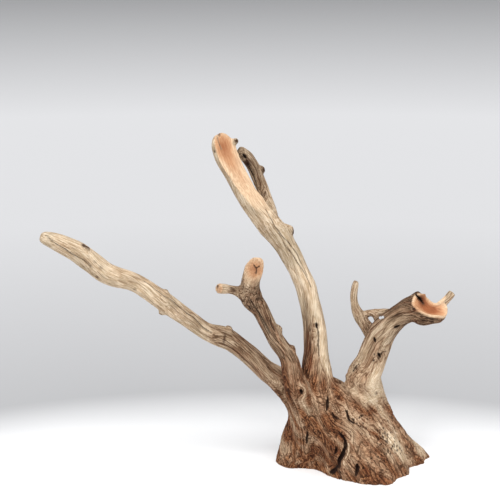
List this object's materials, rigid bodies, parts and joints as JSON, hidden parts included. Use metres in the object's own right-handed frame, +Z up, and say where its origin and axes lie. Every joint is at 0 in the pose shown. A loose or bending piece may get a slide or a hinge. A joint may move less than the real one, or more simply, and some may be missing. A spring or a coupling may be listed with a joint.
{
  "type": "dry root",
  "caption": "Weathered dry root that branches into curved limbs with sawn and gouged ends, standing on a flat sawn foot as a decorative piece or a perch.",
  "frame": {"origin": "on the sawn foot face, near its middle", "axes": "+Z up out of the foot, +X along the spread of the limbs towards the short limb that ends in a scooped cut, +Y to the back"},
  "size_m": [0.6975, 0.2078, 0.594],
  "materials": {
    "dry_wood": "matt, weathered and sandblasted bare wood"
  },
  "bodies": {
    "root": {"dry_root": "dry_wood"}
  },
  "joints": []
}
